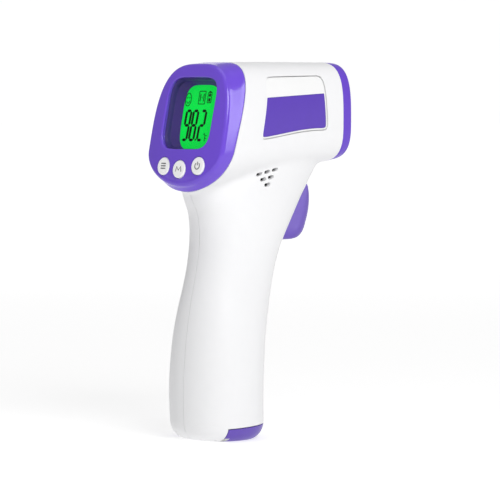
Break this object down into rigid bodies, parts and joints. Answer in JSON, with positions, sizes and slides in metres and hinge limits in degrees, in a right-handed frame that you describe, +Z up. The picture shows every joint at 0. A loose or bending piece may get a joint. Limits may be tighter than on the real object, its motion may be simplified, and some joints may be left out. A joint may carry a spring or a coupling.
{
  "type": "infrared forehead thermometer",
  "caption": "Gun-shaped non-contact forehead thermometer: white two-part housing, purple display bezel with buttons, sensor nose, pull trigger and battery door in the base.",
  "frame": {"origin": "centre of the flat base of the grip", "axes": "+Z up the grip, +Y from the display towards the sensor, X across the width"},
  "size_m": [0.0422, 0.0796, 0.1458],
  "materials": {
    "white_abs": "satin moulded ABS",
    "purple_abs": "satin gloss moulded ABS",
    "dark_purple_abs": "dark moulded plastic",
    "clear_lens": "clear acrylic",
    "lcd_green": "backlit liquid crystal glass",
    "backlight": "light guide",
    "button_grey": "satin",
    "black_plastic": "moulded",
    "nose_grey": "moulded",
    "rubber": "silicone",
    "pcb": "solder mask",
    "steel": "plated",
    "cone_metal": "polished",
    "can_gold": "plated",
    "ir_window": "coated silicon",
    "cell_jacket": "plain printed jacket",
    "wire": "insulation"
  },
  "bodies": {
    "housing": {"housing_left": "white_abs", "housing_right": "white_abs", "side_plate_left": "white_abs", "side_plate_right": "white_abs", "side_label_left": "purple_abs", "side_label_right": "purple_abs", "display_bezel": "purple_abs", "display_lens": "clear_lens", "lcd_shroud": "dark_purple_abs", "lcd_glass": "lcd_green", "lcd_backlight": "backlight", "lcd_holder": "white_abs", "zebra_strips": "rubber", "main_pcb": "pcb", "pcb_chips": "black_plastic", "tact_switches": "steel", "sensor_ring": "purple_abs", "nose_plate": "nose_grey", "sensor_cone": "cone_metal", "sensor_holder": "black_plastic", "thermopile_can": "can_gold", "thermopile_window": "ir_window", "sensor_board": "pcb", "sensor_cable": "wire", "trigger_pin": "steel", "trigger_spring": "steel", "trigger_switch": "steel", "trigger_board": "pcb", "speaker": "black_plastic", "speaker_wires": "wire", "battery_tray": "black_plastic", "battery_1": "cell_jacket", "battery_2": "cell_jacket", "tray_contacts": "steel", "battery_wires": "wire", "battery_door_pin": "steel", "housing_screws": "steel", "pcb_screws": "steel"},
    "trigger": {"trigger": "purple_abs"},
    "trigger_plunger": {"trigger_plunger": "black_plastic"},
    "mode_button": {"mode_button": "button_grey", "mode_plunger": "black_plastic"},
    "memory_button": {"memory_button": "button_grey", "memory_plunger": "black_plastic"},
    "off_button": {"off_button": "button_grey", "off_plunger": "black_plastic"},
    "battery_door": {"battery_door": "purple_abs", "door_contact": "steel"}
  },
  "joints": [
    {"name": "trigger_pull", "type": "hinge", "parent": "housing", "child": "trigger", "pos_m": [0, 0.036, 0.1004], "axis": [-1, 0, 0], "range_deg": [0, 5.5], "stiffness_Nm_per_rad": 0.25, "deforming": ["trigger_spring"]},
    {"name": "trigger_plunger_slide", "type": "slide", "parent": "housing", "child": "trigger_plunger", "axis": [0, -1, 0], "range_m": [0, 0.0016]},
    {"name": "battery_door_hinge", "type": "hinge", "parent": "housing", "child": "battery_door", "pos_m": [0, -0.0082, 0.0014], "axis": [-1, 0, 0], "range_deg": [0, 95]},
    {"name": "mode_button_press", "type": "slide", "parent": "housing", "child": "mode_button", "axis": [0, 0.9781, -0.2079], "range_m": [0, 0.0005], "stiffness_N_per_m": 400},
    {"name": "memory_button_press", "type": "slide", "parent": "housing", "child": "memory_button", "axis": [0, 0.9781, -0.2079], "range_m": [0, 0.0005], "stiffness_N_per_m": 400},
    {"name": "off_button_press", "type": "slide", "parent": "housing", "child": "off_button", "axis": [0, 0.9781, -0.2079], "range_m": [0, 0.0005], "stiffness_N_per_m": 400}
  ],
  "couplings": [
    {"joint": "trigger_plunger_slide", "follows": "trigger_pull", "m_per_rad": 0.016}
  ]
}
